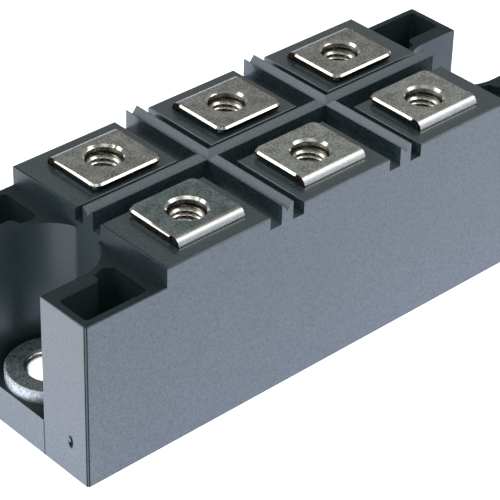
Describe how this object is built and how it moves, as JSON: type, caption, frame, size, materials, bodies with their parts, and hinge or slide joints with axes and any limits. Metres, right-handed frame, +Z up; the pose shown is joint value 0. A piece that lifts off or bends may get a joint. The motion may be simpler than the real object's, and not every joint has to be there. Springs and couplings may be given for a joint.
{
  "type": "diode module",
  "caption": "Low rectangular power diode module with screw terminals on ribbed pads and a metal cooling plate below, fixed by a screw in each end recess.",
  "frame": {"origin": "centre of the cooling face under the module", "axes": "+X along the module's length, +Y across it, +Z up out of the terminals"},
  "size_m": [0.094, 0.033, 0.0311],
  "materials": {
    "housing_plastic": "semi-gloss moulded, slate grey",
    "terminal_nickel": "satin nickel plate on copper",
    "nut_steel": "nickel-plated steel",
    "bush_steel": "turned, plated",
    "plate_nickel": "nickel plate on copper, satin",
    "ceramic": "fired alumina, matt",
    "copper": "bare copper",
    "silicon": "polished silicon",
    "gel": "soft clear silicone",
    "resin": "cast epoxy"
  },
  "bodies": {
    "root": {"housing": "housing_plastic", "base_plate": "plate_nickel", "mounting_bush_left": "bush_steel", "mounting_bush_right": "bush_steel", "terminal_nuts": "nut_steel", "silicone_gel": "gel", "sealing_resin": "resin", "ceramic_tile_left": "ceramic", "anode_track_left": "copper", "cathode_track_left": "copper", "diode_die_left": "silicon", "anode_strap_left": "copper", "terminal_near_left": "terminal_nickel", "terminal_far_left": "terminal_nickel", "ceramic_tile_middle": "ceramic", "anode_track_middle": "copper", "cathode_track_middle": "copper", "diode_die_middle": "silicon", "anode_strap_middle": "copper", "terminal_near_middle": "terminal_nickel", "terminal_far_middle": "terminal_nickel", "ceramic_tile_right": "ceramic", "anode_track_right": "copper", "cathode_track_right": "copper", "diode_die_right": "silicon", "anode_strap_right": "copper", "terminal_near_right": "terminal_nickel", "terminal_far_right": "terminal_nickel"}
  },
  "joints": []
}
